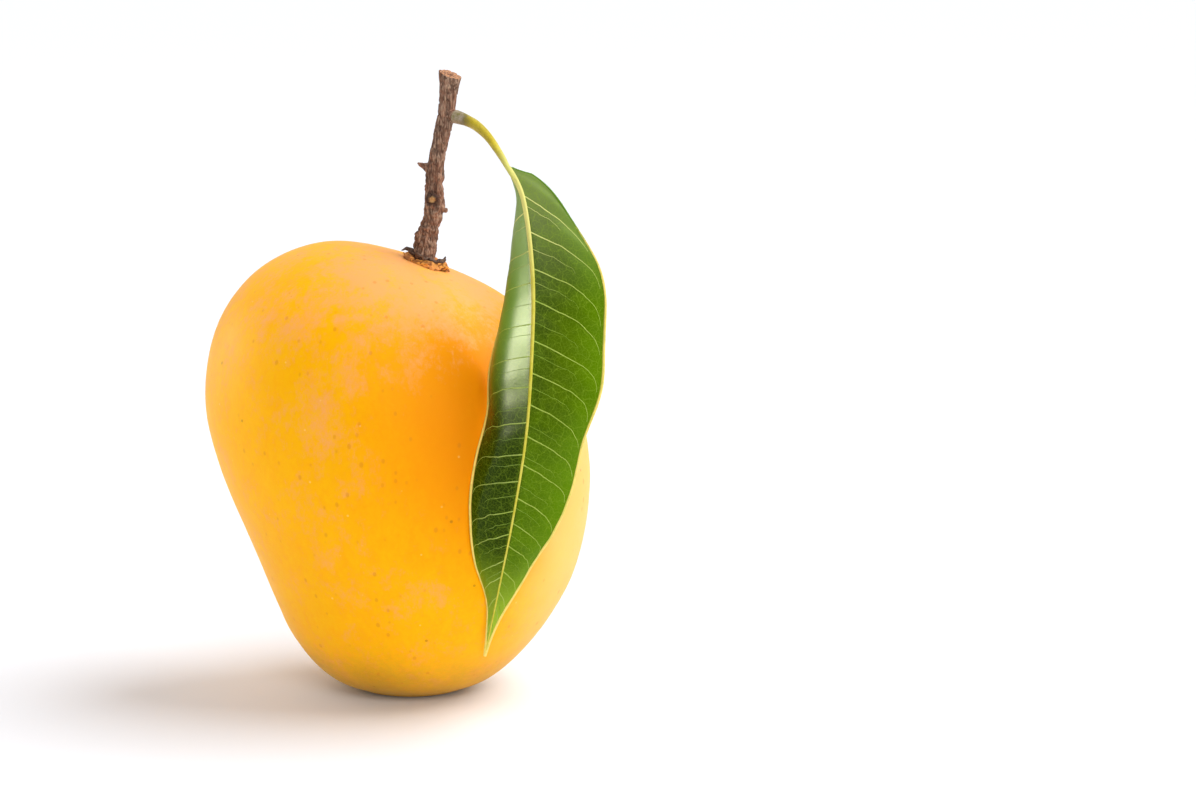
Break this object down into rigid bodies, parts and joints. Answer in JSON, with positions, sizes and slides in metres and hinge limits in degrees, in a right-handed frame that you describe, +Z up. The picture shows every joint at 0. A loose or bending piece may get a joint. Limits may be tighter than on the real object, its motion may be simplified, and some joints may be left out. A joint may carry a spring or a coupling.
{
  "type": "mango",
  "caption": "Ripe mango standing on its nose, a lopsided oval fruit with a woody stalk on a corky collar and a folded green leaf hanging beside it.",
  "frame": {"origin": "centre of the flat spot at the nose that the fruit stands on", "axes": "+Z up from the nose to the stalk, -Y to the front where the leaf hangs, +X to the right with the leaf on the right"},
  "size_m": [0.0881, 0.0793, 0.1382],
  "materials": {
    "fruit_skin": "satin",
    "bark": "rough",
    "cork": "rough",
    "leaf_stalk_green": "satin",
    "leaf_green": "semi-gloss"
  },
  "bodies": {
    "root": {"fruit": "fruit_skin", "stalk": "bark", "stalk_collar": "cork", "leaf_stalk": "leaf_stalk_green", "leaf_blade": "leaf_green"}
  },
  "joints": []
}
